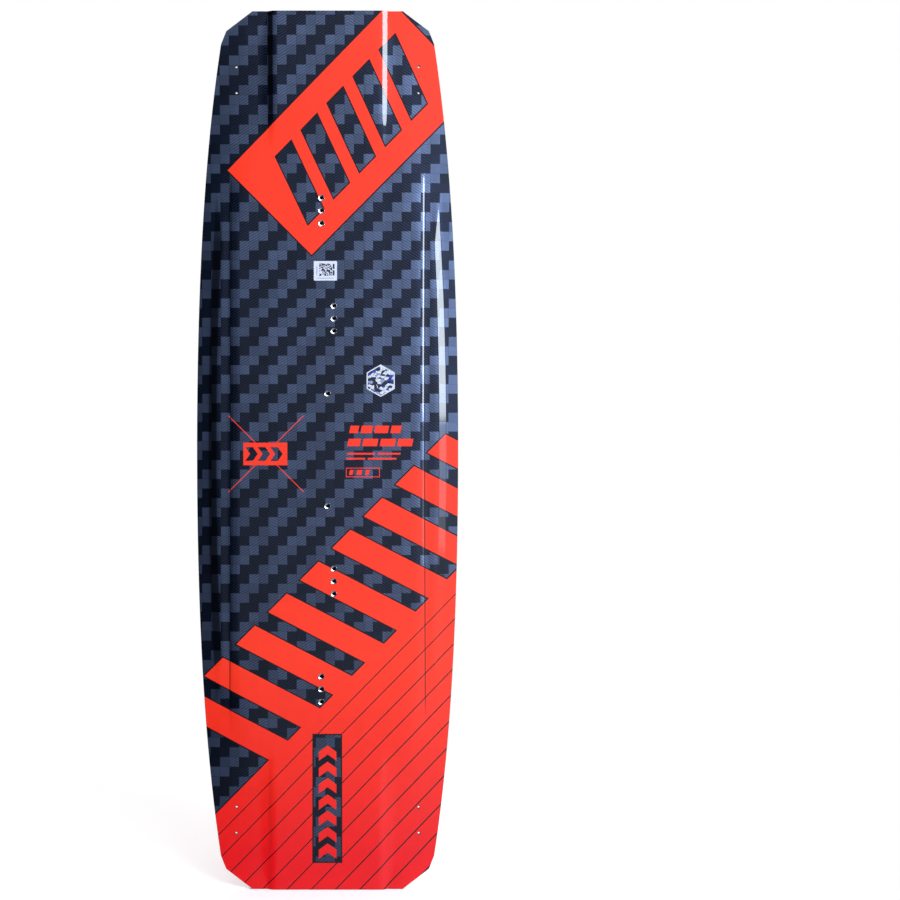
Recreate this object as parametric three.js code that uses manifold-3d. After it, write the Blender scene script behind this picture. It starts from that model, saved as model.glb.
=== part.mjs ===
// A twin-tip kiteboard, standing on its tail tip: +Z runs from tail to nose, +X to the right of
// somebody who looks at the deck, and the deck faces -Y. Millimetres.
//
// The board is a laminate. From the base to the deck it holds a base sheet, a carbon ply, a glass
// ply, a wood core with plastic rails round it, a glass ply, a carbon ply and a deck sheet. Every
// layer is cut from one grid of stations and columns, so that all of them follow the same rocker,
// the same steps and the same bevel. Metal inserts for the foot pads and the handle sit in the
// deck, and dense plugs for the fin screws go right through the core.

import * as THREE from "three";
import { mergeVertices } from "three/addons/utils/BufferGeometryUtils.js";
import Module from "manifold-3d";

// Driving dimensions of the board.
const LENGTH = 1380;
const WIDTH = 420;
const ROCKER = 40;
const MID_THICKNESS = 10;
const TIP_THICKNESS = 6.5;
const EDGE_THICKNESS = 5.5;
const HALF_LENGTH = LENGTH / 2;
const HALF_WIDTH = WIDTH / 2;

// Outline: side curve, small rounding, cut corner and straight tip.
const SIDE_CURVE = 7.3e-5;
const SIDE_TAPER = 7e-11;
const SIDE_END = 640;
const CORNER_STATION = 659.5;
const CORNER_HALF_WIDTH = 160;
const TIP_HALF_WIDTH = 118;

// Pressed steps: the middle of the board stands proud on the deck and is hollow on the base.
const TIP_STEP = { height: 3.1, inner: 86, outer: 94.5, start: 470, full: 560 };
const MID_STEP = { height: 0.8, inner: 151.8, outer: 154.2, full: 405, end: 450 };

// Over the rails the deck slopes down in two parts: a low rim along the edge and, inside it, a
// steeper facet. Towards the tips the facet gives way to a wide, gentle shoulder.
const BEVEL = {
  rim: 19, facet: 13, shoulder: 43, rimShare: 1 / 3, full: 330, end: MID_STEP.full,
};
const RAIL_WIDTH = BEVEL.rim + BEVEL.facet;
const TIP_RAIL_START = HALF_LENGTH - BEVEL.rim;
const LEAST_COLUMN = 2;

// Stations of one half of the board, where the layers' grid has its rows.
const HALF_STATIONS = [
  0, 105, 210, BEVEL.full, MID_STEP.full, MID_STEP.end, TIP_STEP.start, 515, TIP_STEP.full,
  610, SIDE_END, CORNER_STATION, TIP_RAIL_START, HALF_LENGTH,
];

// Laminate: each layer's thickness, with a thin glue line between layers.
const SHEET = 0.35;
const CARBON = 0.25;
const GLASS = 0.3;
const GLUE = 0.03;
const SKIN = SHEET + CARBON + GLASS + 3 * GLUE;
const SKIN_INSET = 0.6;
const FIT_GAP = 0.3;

// Threaded inserts, M6, in the deck.
const INSERT = {
  boreRadius: 2.6,
  boreDepth: 6,
  chamfer: 0.4,
  ringRadius: 5,
  flangeRadius: 9,
  flangeTop: SKIN + FIT_GAP,
  flangeBottom: 2.5,
  bodyRadius: 4.6,
  depth: 6.8,
};
const INSERT_SIDES = 10;
const INSERT_PITCH = 20;
const OUTER_GROUP = { x: -10, station: 381 };
const INNER_GROUP = { x: 10, station: 210 };
const HANDLE_STATION = 90;

// Fin plugs with two screw holes each.
const FIN_X = 144;
const FIN_STATION = 585;
const FIN_PITCH = 40;
const FIN_HOLE_RADIUS = 2.4;
const PLUG_BORE_RADIUS = 1.7;
const FIN_HOLE_SIDES = 8;
const PLUG_RADIUS = 9;
const PLUG_ARC_STEPS = 6;

// Stickers on the deck.
const STICKER_THICKNESS = 0.15;
const LABEL = { x: -3.5, station: 286, width: 37, height: 31 };
const BADGE = { x: 85, station: 111, radius: 26 };

// Cutting tools reach this far past the board's surfaces.
const TOOL_REACH = 80;

// Points closer than this are one point of a solid.
const MERGE_DISTANCE = 1e-4;

const wasm = await Module();
wasm.setup();

const COLOURS = {
  deckSheet: [0x2a3146, 0.3, 0.0],
  baseSheet: [0xf6412e, 0.28, 0.0],
  carbon: [0x1a2130, 0.35, 0.2],
  glass: [0xc9cfb8, 0.5, 0.0],
  wood: [0xb58a56, 0.7, 0.0],
  rail: [0x15171c, 0.45, 0.0],
  steel: [0xc4c7cc, 0.3, 0.9],
  plug: [0x22252b, 0.5, 0.0],
  label: [0xf2f2ee, 0.4, 0.0],
  badge: [0xb9bec6, 0.3, 0.6],
};

// Half width of the outline at a station, measured from the middle of the board.
function halfWidth(station) {
  const s = Math.abs(station);
  if (s <= SIDE_END) return HALF_WIDTH - SIDE_CURVE * s ** 2 - SIDE_TAPER * s ** 4;
  if (s <= CORNER_STATION) {
    return THREE.MathUtils.mapLinear(
      s, SIDE_END, CORNER_STATION, halfWidth(SIDE_END), CORNER_HALF_WIDTH,
    );
  }
  return THREE.MathUtils.mapLinear(
    s, CORNER_STATION, HALF_LENGTH, CORNER_HALF_WIDTH, TIP_HALF_WIDTH,
  );
}

// 0 below low, 1 above high, straight in between.
function ramp(value, low, high) {
  return THREE.MathUtils.clamp((value - low) / (high - low), 0, 1);
}

// How far the pressed steps push the laminate towards the deck.
function stepHeight(x, station) {
  const across = Math.abs(x);
  const along = Math.abs(station);
  const tip = TIP_STEP.height * ramp(along, TIP_STEP.start, TIP_STEP.full)
    * (1 - ramp(across, TIP_STEP.inner, TIP_STEP.outer));
  const middle = MID_STEP.height * (1 - ramp(along, MID_STEP.full, MID_STEP.end))
    * (1 - ramp(across, MID_STEP.inner, MID_STEP.outer));
  return tip + middle;
}

// Depth of the base surface. The tips bend towards the deck, and the box is centred on y = 0.
function baseSurface(x, station) {
  const middleOfDepth = (ROCKER + TIP_STEP.height + EDGE_THICKNESS) / 2;
  const bend = ROCKER * (station / HALF_LENGTH) ** 2;
  return middleOfDepth - bend - stepHeight(x, station);
}

// Thickness of the board, thinnest along its edge.
function thickness(x, station) {
  const full = MID_THICKNESS - (MID_THICKNESS - TIP_THICKNESS) * (station / HALF_LENGTH) ** 2;
  const inset = Math.min(halfWidth(station) - Math.abs(x), HALF_LENGTH - Math.abs(station));
  const toShoulder = ramp(Math.abs(station), BEVEL.full, BEVEL.end);
  const overFacet = (1 - toShoulder) * ramp(inset, BEVEL.rim, RAIL_WIDTH);
  const overShoulder = toShoulder * ramp(inset, BEVEL.rim, BEVEL.rim + BEVEL.shoulder);
  const overRim = BEVEL.rimShare * ramp(inset, 0, BEVEL.rim);
  const rise = overRim + (1 - BEVEL.rimShare) * (overFacet + overShoulder);
  return EDGE_THICKNESS + (full - EDGE_THICKNESS) * rise;
}

function deckSurface(x, station) {
  return baseSurface(x, station) - thickness(x, station);
}

// A surface at a distance inside the board, from the deck or from the base.
const underDeck = (distance) => (x, station) => deckSurface(x, station) + distance;
const overBase = (distance) => (x, station) => baseSurface(x, station) - distance;

// Columns of the grid at a station, over the whole width: the middle, both lines of the step,
// the rail's inside, the rim's inside and the edge. Neighbouring layers and pieces share them.
function columns(station) {
  const edge = halfWidth(station);
  const step = Math.abs(station) < TIP_STEP.start ? MID_STEP : TIP_STEP;
  const railInside = Math.max(edge - RAIL_WIDTH, step.outer + LEAST_COLUMN);
  const rimInside = Math.max(edge - BEVEL.rim, railInside + LEAST_COLUMN);
  const right = [step.inner, step.outer, railInside, rimInside, edge];
  return [...right.map((x) => -x).reverse(), 0, ...right];
}

const coreColumns = (station) => columns(station).slice(2, -2);
const leftRailColumns = (station) => columns(station).slice(0, 3);
const rightRailColumns = (station) => columns(station).slice(-3);

// A closed slab between two surfaces, over a grid of stations and columns.
function slab(stations, columnsAt, baseSide, deckSide) {
  const rows = stations.map((station) => columnsAt(station).map((x) => [x, station]));
  const across = rows[0].length;
  const grid = rows.flat();
  const positions = [deckSide, baseSide].flatMap((surface) => (
    grid.flatMap(([x, station]) => [x, surface(x, station), station + HALF_LENGTH])
  ));
  const deck = (i, j) => i * across + j;
  const base = (i, j) => grid.length + deck(i, j);
  const faces = [];
  const quad = (a, b, c, d) => faces.push(a, b, c, a, c, d);
  const lastRow = rows.length - 1;
  const lastColumn = across - 1;
  for (let i = 0; i < lastRow; i += 1) {
    for (let j = 0; j < lastColumn; j += 1) {
      quad(deck(i, j), deck(i, j + 1), deck(i + 1, j + 1), deck(i + 1, j));
      quad(base(i, j), base(i + 1, j), base(i + 1, j + 1), base(i, j + 1));
    }
    quad(deck(i + 1, lastColumn), deck(i, lastColumn), base(i, lastColumn), base(i + 1, lastColumn));
    quad(deck(i, 0), deck(i + 1, 0), base(i + 1, 0), base(i, 0));
  }
  for (let j = 0; j < lastColumn; j += 1) {
    quad(deck(0, j + 1), deck(0, j), base(0, j), base(0, j + 1));
    quad(deck(lastRow, j), deck(lastRow, j + 1), base(lastRow, j + 1), base(lastRow, j));
  }
  const geometry = new THREE.BufferGeometry();
  geometry.setAttribute("position", new THREE.Float32BufferAttribute(positions, 3));
  geometry.setIndex(faces);
  return geometry;
}

// All stations between two limits, from tail to nose.
function stationsBetween(low, high) {
  const all = [...HALF_STATIONS.slice(1).map((s) => -s).reverse(), ...HALF_STATIONS];
  const inside = all.filter((s) => s > low && s < high);
  return [low, ...inside, high];
}

// One full layer between a surface near the base and one near the deck.
function layer(baseSide, deckSide) {
  return slab(stationsBetween(-HALF_LENGTH, HALF_LENGTH), columns, baseSide, deckSide);
}

function toSolid(geometry) {
  const bare = new THREE.BufferGeometry();
  bare.setAttribute("position", geometry.getAttribute("position"));
  bare.setIndex(geometry.getIndex());
  const merged = mergeVertices(bare, MERGE_DISTANCE);
  return new wasm.Manifold(new wasm.Mesh({
    numProp: 3,
    vertProperties: merged.getAttribute("position").array,
    triVerts: new Uint32Array(merged.getIndex().array),
  }));
}

function toGeometry(solid) {
  const { vertProperties, triVerts } = solid.getMesh();
  const geometry = new THREE.BufferGeometry();
  geometry.setAttribute("position", new THREE.BufferAttribute(vertProperties, 3));
  geometry.setIndex(new THREE.BufferAttribute(triVerts, 1));
  return geometry;
}

function cut(geometry, tools) {
  return toGeometry(tools.reduce((solid, tool) => solid.subtract(toSolid(tool)), toSolid(geometry)));
}

function trim(geometry, tool) {
  return toGeometry(toSolid(geometry).intersect(toSolid(tool)));
}

// Place and lean of something that is set square to the deck.
function deckPlace(x, station) {
  const reach = 5;
  const slope = (deckSurface(x, station + reach) - deckSurface(x, station - reach)) / (2 * reach);
  return {
    position: new THREE.Vector3(x, deckSurface(x, station), station + HALF_LENGTH),
    lean: -Math.atan(slope),
  };
}

function placed(geometry, place) {
  const turned = geometry.clone().rotateX(place.lean);
  return turned.translate(place.position.x, place.position.y, place.position.z);
}

// A body turned about Y. Profile points are radius and depth under the deck.
function turnedBody(profile, sides) {
  return new THREE.LatheGeometry(profile.map(([r, depth]) => new THREE.Vector2(r, depth)), sides);
}

function insertGeometry() {
  const t = INSERT;
  return turnedBody([
    [0, t.boreDepth], [t.boreRadius, t.boreDepth], [t.boreRadius, t.chamfer],
    [t.boreRadius + t.chamfer, 0], [t.ringRadius, 0], [t.ringRadius, t.flangeTop],
    [t.flangeRadius, t.flangeTop], [t.flangeRadius, t.flangeBottom],
    [t.bodyRadius, t.flangeBottom], [t.bodyRadius, t.depth], [0, t.depth],
  ], INSERT_SIDES);
}

// The pocket that an insert fills in the core.
function insertPocket() {
  const flange = INSERT.flangeRadius + FIT_GAP;
  const body = INSERT.bodyRadius + FIT_GAP;
  const step = INSERT.flangeBottom + FIT_GAP;
  const bottom = INSERT.depth + FIT_GAP;
  return turnedBody([
    [0, -TOOL_REACH], [flange, -TOOL_REACH], [flange, step], [body, step], [body, bottom],
    [0, bottom],
  ], INSERT_SIDES);
}

function roundTool(radius, low, high, sides) {
  return turnedBody([[0, low], [radius, low], [radius, high], [0, high]], sides);
}

// A prism along Y over an outline of points in the deck's plane.
function prism(points) {
  const shape = new THREE.Shape(points.map(([x, station]) => (
    new THREE.Vector2(x, station + HALF_LENGTH)
  )));
  const geometry = new THREE.ExtrudeGeometry(shape, { depth: 2 * TOOL_REACH, bevelEnabled: false });
  return mergeVertices(geometry.deleteAttribute("normal").deleteAttribute("uv"))
    .rotateX(Math.PI / 2)
    .translate(0, TOOL_REACH, 0);
}

function plugOutline(x, station, radius) {
  const points = [];
  for (const end of [1, -1]) {
    for (let k = 0; k <= PLUG_ARC_STEPS; k += 1) {
      const angle = Math.PI * (k / PLUG_ARC_STEPS) + (end < 0 ? Math.PI : 0);
      const centre = station + (end * FIN_PITCH) / 2;
      points.push([x + radius * Math.cos(angle), centre + radius * Math.sin(angle)]);
    }
  }
  return points;
}

function rectangle({ x, station, width, height }) {
  const w = width / 2;
  const h = height / 2;
  return [[x - w, station - h], [x + w, station - h], [x + w, station + h], [x - w, station + h]];
}

function hexagon({ x, station, radius }) {
  return [0, 1, 2, 3, 4, 5].map((k) => {
    const angle = (Math.PI / 3) * k + Math.PI / 6;
    return [x + radius * Math.cos(angle), station + radius * Math.sin(angle)];
  });
}

// Name and place of every insert.
function insertList() {
  const list = [];
  for (const [end, sign] of [["nose", 1], ["tail", -1]]) {
    for (const [group, at] of [["outer", OUTER_GROUP], ["inner", INNER_GROUP]]) {
      for (const k of [1, 2, 3]) {
        const station = sign * at.station + (2 - k) * INSERT_PITCH;
        list.push({ name: `${end}_${group}_insert_${k}`, x: at.x, station });
      }
    }
    list.push({ name: `${end}_handle_insert`, x: 0, station: sign * HANDLE_STATION });
  }
  return list;
}

// Name and place of every fin plug.
function plugList() {
  const list = [];
  for (const [end, sign] of [["nose", 1], ["tail", -1]]) {
    for (const [side, way] of [["left", -1], ["right", 1]]) {
      list.push({ name: `${end}_${side}_fin_plug`, x: way * FIN_X, station: sign * FIN_STATION });
    }
  }
  return list;
}

const board = new THREE.Group();
board.name = "kiteboard";

function addMesh(name, geometry, colour) {
  const [color, roughness, metalness] = COLOURS[colour];
  const material = new THREE.MeshStandardMaterial({ color, roughness, metalness });
  const mesh = new THREE.Mesh(geometry, material);
  mesh.name = name;
  board.add(mesh);
  return mesh;
}

const inserts = insertList().map((entry) => ({ ...entry, place: deckPlace(entry.x, entry.station) }));
const plugs = plugList().map((entry) => ({ ...entry, place: deckPlace(entry.x, entry.station) }));

// Holes for the fins' screws, square to the deck at each plug.
function finHolesOf(radius) {
  const hole = roundTool(radius, -TOOL_REACH, TOOL_REACH, FIN_HOLE_SIDES);
  return plugs.flatMap(({ place }) => [-1, 1].map((way) => (
    placed(hole.clone().translate(0, 0, (way * FIN_PITCH) / 2), place)
  )));
}

const finHoles = finHolesOf(FIN_HOLE_RADIUS);
const plugBores = finHolesOf(PLUG_BORE_RADIUS);
const ringHoles = inserts.map(({ place }) => (
  placed(roundTool(INSERT.ringRadius + FIT_GAP, -INSERT.depth, INSERT.flangeTop, INSERT_SIDES), place)
));

// The outline that the skins are sanded back to, so that the rails stand a little proud of them.
function skinOutline() {
  const end = HALF_LENGTH - SKIN_INSET;
  const stations = stationsBetween(-end, end);
  const right = stations.map((s) => [halfWidth(s) - SKIN_INSET, s]);
  const left = stations.map((s) => [SKIN_INSET - halfWidth(s), s]).reverse();
  return [...right, ...left];
}

// Plies and sheets, outermost last on each side.
function addSkins() {
  const outline = prism(skinOutline());
  const plies = [
    { kind: "glass", from: SHEET + CARBON + 2 * GLUE, depth: GLASS, colours: ["glass", "glass"] },
    { kind: "carbon", from: SHEET + GLUE, depth: CARBON, colours: ["carbon", "carbon"] },
    { kind: "sheet", from: 0, depth: SHEET, colours: ["deckSheet", "baseSheet"] },
  ];
  for (const { kind, from, depth, colours } of plies) {
    const deckPly = trim(layer(underDeck(from + depth), underDeck(from)), outline);
    const basePly = trim(layer(overBase(from), overBase(from + depth)), outline);
    addMesh(`deck_${kind}`, cut(deckPly, [...finHoles, ...ringHoles]), colours[0]);
    addMesh(`base_${kind}`, cut(basePly, finHoles), colours[1]);
  }
}

// The core, the rails round it and the plugs let into both.
function addMiddle() {
  const low = overBase(SKIN);
  const high = underDeck(SKIN);
  const plugPockets = plugs.map(({ x, station }) => (
    prism(plugOutline(x, station, PLUG_RADIUS + FIT_GAP))
  ));
  const insertPockets = inserts.map(({ place }) => placed(insertPocket(), place));

  const stations = stationsBetween(-TIP_RAIL_START, TIP_RAIL_START);
  const core = slab(stations, coreColumns, low, high);
  addMesh("wood_core", cut(core, [...plugPockets, ...insertPockets]), "wood");
  addMesh("rail_right", cut(slab(stations, rightRailColumns, low, high), plugPockets), "rail");
  addMesh("rail_left", cut(slab(stations, leftRailColumns, low, high), plugPockets), "rail");
  const noseStations = [TIP_RAIL_START, HALF_LENGTH];
  const tailStations = [-HALF_LENGTH, -TIP_RAIL_START];
  addMesh("nose_tip_rail", slab(noseStations, columns, low, high), "rail");
  addMesh("tail_tip_rail", slab(tailStations, columns, low, high), "rail");

  const filling = layer(low, high);
  for (const { name, x, station } of plugs) {
    const body = trim(filling, prism(plugOutline(x, station, PLUG_RADIUS)));
    addMesh(name, cut(body, plugBores), "plug");
  }
}

function addInserts() {
  for (const { name, place } of inserts) {
    const mesh = addMesh(name, insertGeometry(), "steel");
    mesh.position.copy(place.position);
    mesh.rotation.x = place.lean;
  }
}

function addStickers() {
  const film = layer(underDeck(-GLUE), underDeck(-GLUE - STICKER_THICKNESS));
  addMesh("deck_label", trim(film, prism(rectangle(LABEL))), "label");
  addMesh("deck_badge", trim(film, prism(hexagon(BADGE))), "badge");
}

addSkins();
addMiddle();
addInserts();
addStickers();

export default board;
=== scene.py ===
"""A twin-tip kiteboard standing on its tail tip, deck towards -Y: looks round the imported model.

x runs across the board, station runs along it from its middle to the nose, both in millimetres.
Every layer is a closed slab between two depths of the board's own surfaces.
"""

import math
from collections import namedtuple
from functools import reduce

import bmesh
import bpy
import numpy as np
from mathutils import Matrix, Vector


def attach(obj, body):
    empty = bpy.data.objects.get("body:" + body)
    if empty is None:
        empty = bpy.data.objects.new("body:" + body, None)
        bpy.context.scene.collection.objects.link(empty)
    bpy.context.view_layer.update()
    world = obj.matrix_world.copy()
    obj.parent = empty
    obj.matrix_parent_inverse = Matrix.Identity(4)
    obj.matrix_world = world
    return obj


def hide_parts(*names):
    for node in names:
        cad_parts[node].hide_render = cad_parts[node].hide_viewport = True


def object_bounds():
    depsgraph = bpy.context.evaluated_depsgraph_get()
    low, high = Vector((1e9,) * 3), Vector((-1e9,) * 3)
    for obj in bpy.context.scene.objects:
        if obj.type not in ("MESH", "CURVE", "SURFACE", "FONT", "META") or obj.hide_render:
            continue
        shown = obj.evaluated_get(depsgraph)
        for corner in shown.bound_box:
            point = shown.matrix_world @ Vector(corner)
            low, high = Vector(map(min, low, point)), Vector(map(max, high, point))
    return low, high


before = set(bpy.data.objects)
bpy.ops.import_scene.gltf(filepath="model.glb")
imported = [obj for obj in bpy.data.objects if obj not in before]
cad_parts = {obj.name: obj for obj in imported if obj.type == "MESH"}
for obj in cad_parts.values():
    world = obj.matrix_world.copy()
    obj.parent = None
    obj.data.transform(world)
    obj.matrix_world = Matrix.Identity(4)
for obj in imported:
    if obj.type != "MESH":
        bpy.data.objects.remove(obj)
cad_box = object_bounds()

MM = 0.001
SHARP_ANGLE = math.radians(30)

# Outline, rocker and thickness.
HALF_LENGTH = 690.0
HALF_WIDTH = 210.0
ROCKER = 40.0
MID_THICKNESS = 10.0
TIP_THICKNESS = 6.5
EDGE_THICKNESS = 5.5
SIDE_CURVE = 7.3e-5
SIDE_TAPER = 7e-11
SIDE_END = 640.0
CORNER_STATION = 659.5
CORNER_HALF_WIDTH = 160.0
TIP_HALF_WIDTH = 118.0

# Pressed relief of the deck: two steps, and a bevel of a low rim and a facet inside it, which
# gives way to a wide shoulder towards the tips.
TIP_STEP = {"height": 3.1, "inner": 86.0, "outer": 94.5, "start": 470.0, "full": 560.0}
MID_STEP = {"height": 0.8, "inner": 151.8, "outer": 154.2, "full": 405.0, "end": 450.0}
RIM_WIDTH = 19.0
FACET_WIDTH = 13.0
SHOULDER_WIDTH = 43.0
RIM_SHARE = 1 / 3
FACET_FULL = 330.0
FACET_END = 405.0
STEP_ROUNDING = 0.12
TIP_RAIL_START = HALF_LENGTH - RIM_WIDTH
SKIN_INSET = 0.6

# Laminate.
SHEET = 0.35
CARBON = 0.25
GLASS = 0.3
GLUE = 0.03
SKIN = SHEET + CARBON + GLASS + 3 * GLUE
FIT_GAP = 0.3

# Fittings.
INSERT_PITCH = 20.0
OUTER_GROUP = (-10.0, 381.0)
INNER_GROUP = (10.0, 210.0)
HANDLE_STATION = 90.0
RING_RADIUS = 5.0
FLANGE_RADIUS = 9.0
FLANGE_BOTTOM = 2.5
BODY_RADIUS = 4.6
BODY_BOTTOM = 6.8
BORE_RADIUS = 2.55
THREAD_DEPTH = 0.35
THREAD_PITCH = 1.0
THREAD_TURNS = 5
THREAD_BOTTOM = 5.6
BORE_TOP = 0.85
BORE_BOTTOM = 6.3
RING_GAP = 0.04
FIN_X = 144.0
FIN_STATION = 585.0
FIN_PITCH = 40.0
FIN_HOLE_RADIUS = 2.4
PLUG_BORE_RADIUS = 1.7
PLUG_RADIUS = 9.0
LABEL = {"x": -3.5, "station": 286.0, "width": 37.0, "height": 31.0}
BADGE = {"x": 85.0, "station": 111.0, "radius": 26.0}
STICKER_DEPTH = 0.15

# Grids. Rows lie a pitch apart. Columns are counted from the middle of the board to the step,
# over the step, on to the facet, over the facet and over the rim.
FINE_PITCH = 5.0
COARSE_PITCH = 24.0
SIDE_RAIL_PITCH = 10.0
TIP_RAIL_PITCH = 3.0
FINE = (12, 7, 3, 6, 3)
COARSE = (2, 2, 1, 2, 1)
SIDE_RAIL_COLUMNS = (12, 7, 3, 2, 2)
TIP_RAIL_COLUMNS = (8, 4, 2, 2, 2)
RAIL_LEVELS = 8
KEY_GAP = 1.5

# Cutting tools: how far they reach over the deck, and to each side when they go right through.
TOOL_OVER = 4.0
TOOL_REACH = 60.0
HOLE_SIDES = 40
INSERT_SIDES = 56


# ---------------------------------------------------------------- the board's surfaces

def half_width(station):
    s = np.abs(station)
    side = HALF_WIDTH - SIDE_CURVE * s**2 - SIDE_TAPER * s**4
    side_end = HALF_WIDTH - SIDE_CURVE * SIDE_END**2 - SIDE_TAPER * SIDE_END**4
    tip = np.interp(
        s,
        [SIDE_END, CORNER_STATION, HALF_LENGTH],
        [side_end, CORNER_HALF_WIDTH, TIP_HALF_WIDTH],
    )
    return np.where(s <= SIDE_END, side, tip)


def ramp(value, low, high):
    return np.clip((value - low) / (high - low), 0.0, 1.0)


def eased(value, low, high, round_share=0.2):
    """A straight ramp from 0 to 1 whose two ends are rounded."""
    t = ramp(value, low, high)
    r = round_share
    start = t**2 / (2 * r * (1 - r))
    middle = (t - r / 2) / (1 - r)
    end = 1 - (1 - t) ** 2 / (2 * r * (1 - r))
    return np.where(t < r, start, np.where(t > 1 - r, end, middle))


def step_height(x, station):
    across = np.abs(x)
    along = np.abs(station)
    tip = TIP_STEP["height"] * eased(along, TIP_STEP["start"], TIP_STEP["full"])
    tip = tip * (1 - eased(across, TIP_STEP["inner"], TIP_STEP["outer"], STEP_ROUNDING))
    middle = MID_STEP["height"] * (1 - eased(along, MID_STEP["full"], MID_STEP["end"]))
    middle = middle * (1 - eased(across, MID_STEP["inner"], MID_STEP["outer"], STEP_ROUNDING))
    return tip + middle


def base_surface(x, station):
    middle_of_depth = (ROCKER + TIP_STEP["height"] + EDGE_THICKNESS) / 2
    bend = ROCKER * (station / HALF_LENGTH) ** 2
    return middle_of_depth - bend - step_height(x, station)


def thickness(x, station):
    full = MID_THICKNESS - (MID_THICKNESS - TIP_THICKNESS) * (station / HALF_LENGTH) ** 2
    inset = np.minimum(half_width(station) - np.abs(x), HALF_LENGTH - np.abs(station))
    facet = 1 - ramp(np.abs(station), FACET_FULL, FACET_END)
    facet_end = RIM_WIDTH + np.maximum(FACET_WIDTH * facet, 0.01)
    over_facet = facet * eased(inset, RIM_WIDTH, facet_end, STEP_ROUNDING)
    over_shoulder = (1 - facet) * ramp(inset, facet_end, RIM_WIDTH + SHOULDER_WIDTH)
    over_rim = RIM_SHARE * ramp(inset, 0, RIM_WIDTH)
    rise = over_rim + (1 - RIM_SHARE) * (over_facet + over_shoulder)
    return EDGE_THICKNESS + (full - EDGE_THICKNESS) * rise


def deck_surface(x, station):
    return base_surface(x, station) - thickness(x, station)


def under_deck(distance):
    return lambda x, station: deck_surface(x, station) + distance


def over_base(distance):
    return lambda x, station: base_surface(x, station) - distance


# ---------------------------------------------------------------- slabs

def stations_between(low, high, pitch):
    """Rows about a pitch apart, with the places where the board's form changes among them."""
    keys = [
        FACET_FULL, FACET_END, MID_STEP["end"], TIP_STEP["start"], TIP_STEP["full"], SIDE_END,
        CORNER_STATION, TIP_RAIL_START,
    ]
    count = int((high - low) / pitch)
    plain = np.linspace(low, high, count + 1)
    keyed = [s for k in keys for s in (-k, k) if low + 1 < s < high - 1]
    plain = [s for s in plain if all(abs(s - k) > pitch * 0.3 for k in keyed)]
    return np.array(sorted([*plain, *keyed]))


def right_columns(stations, inset, counts):
    """Columns from the middle to the right edge, with the step and the facet on columns."""
    edge = half_width(stations)
    blend = ramp(np.abs(stations), MID_STEP["end"], TIP_STEP["start"])
    inner = MID_STEP["inner"] + (TIP_STEP["inner"] - MID_STEP["inner"]) * blend
    outer = MID_STEP["outer"] + (TIP_STEP["outer"] - MID_STEP["outer"]) * blend
    facet = np.maximum(edge - RIM_WIDTH - FACET_WIDTH, outer + KEY_GAP)
    rim = np.maximum(edge - RIM_WIDTH, facet + KEY_GAP)
    keys = [np.zeros_like(edge), inner, outer, facet, rim, edge - inset]
    columns = [keys[0]]
    for left, right, count in zip(keys, keys[1:], counts):
        columns += [left + (right - left) * (k + 1) / count for k in range(count)]
    return np.stack(columns, axis=1)


def both_sides(right):
    return np.concatenate([-right[:, :0:-1], right], axis=1)


def full_columns(counts):
    """Columns of a layer that covers the whole board."""
    return lambda stations: both_sides(right_columns(stations, SKIN_INSET, counts))


def core_columns(counts):
    """Columns up to the facet, where the side rails begin."""
    beyond = counts[-1] + counts[-2]
    return lambda stations: both_sides(right_columns(stations, 0, counts)[:, :-beyond])


def rail_columns(side, counts):
    """Columns from the facet to the edge of one side."""
    def columns(stations):
        right = right_columns(stations, SKIN_INSET, counts)[:, -counts[-1] - counts[-2] - 1:]
        return right if side > 0 else -right[:, ::-1]
    return columns


def mesh_object(name, points, faces):
    """A piece from points in millimetres, x, depth and station, and its faces."""
    points = np.asarray(points, float)
    placed = points * MM + np.array([0, 0, HALF_LENGTH * MM])
    mesh = bpy.data.meshes.new(name)
    mesh.from_pydata(placed.tolist(), [], [list(map(int, f)) for f in faces])
    made = bpy.data.objects.new(name, mesh)
    bpy.context.scene.collection.objects.link(made)
    work = bmesh.new()
    work.from_mesh(mesh)
    bmesh.ops.recalc_face_normals(work, faces=work.faces)
    work.to_mesh(mesh)
    work.free()
    return made


def slab(name, stations, columns, base_side, deck_side, levels=1, bulge=0.0):
    """A closed slab over a grid. Its wall has a number of levels and bulges at the board's edge."""
    x = columns(stations)
    rows, across = x.shape
    s = np.repeat(stations[:, None], across, axis=1)
    deck = np.stack([x, deck_side(x, s), s], axis=2).reshape(-1, 3)
    base = np.stack([x, base_side(x, s), s], axis=2).reshape(-1, 3)
    index = np.arange(rows * across).reshape(rows, across)
    a, b = index[:-1, :-1].ravel(), index[:-1, 1:].ravel()
    c, d = index[1:, 1:].ravel(), index[1:, :-1].ravel()
    total = rows * across
    faces = np.concatenate([
        np.stack([a, b, c, d], axis=1),
        np.stack([a, d, c, b], axis=1) + total,
    ]).tolist()
    ring = np.concatenate([index[0, :-1], index[:-1, -1], index[-1, :0:-1], index[:0:-1, 0]])
    slack = SKIN_INSET + 0.01
    outer_x = np.abs(deck[ring, 0]) > half_width(deck[ring, 2]) - slack
    outer_s = np.abs(deck[ring, 2]) > HALF_LENGTH - slack
    push = np.stack([
        np.sign(deck[ring, 0]) * outer_x, np.zeros(len(ring)), np.sign(deck[ring, 2]) * outer_s,
    ], axis=1)
    points = [deck, base]
    rings = [ring]
    for level in range(1, levels):
        t = level / levels
        out = bulge * math.sqrt(1 - (2 * t - 1) ** 2)
        points.append(deck[ring] * (1 - t) + base[ring] * t + push * out)
        rings.append(np.arange(len(ring)) + 2 * total + (level - 1) * len(ring))
    rings.append(ring + total)
    for upper, lower in zip(rings, rings[1:]):
        faces += np.stack(
            [upper, lower, np.roll(lower, -1), np.roll(upper, -1)], axis=1,
        ).tolist()
    return mesh_object(name, np.concatenate(points), faces)


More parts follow.
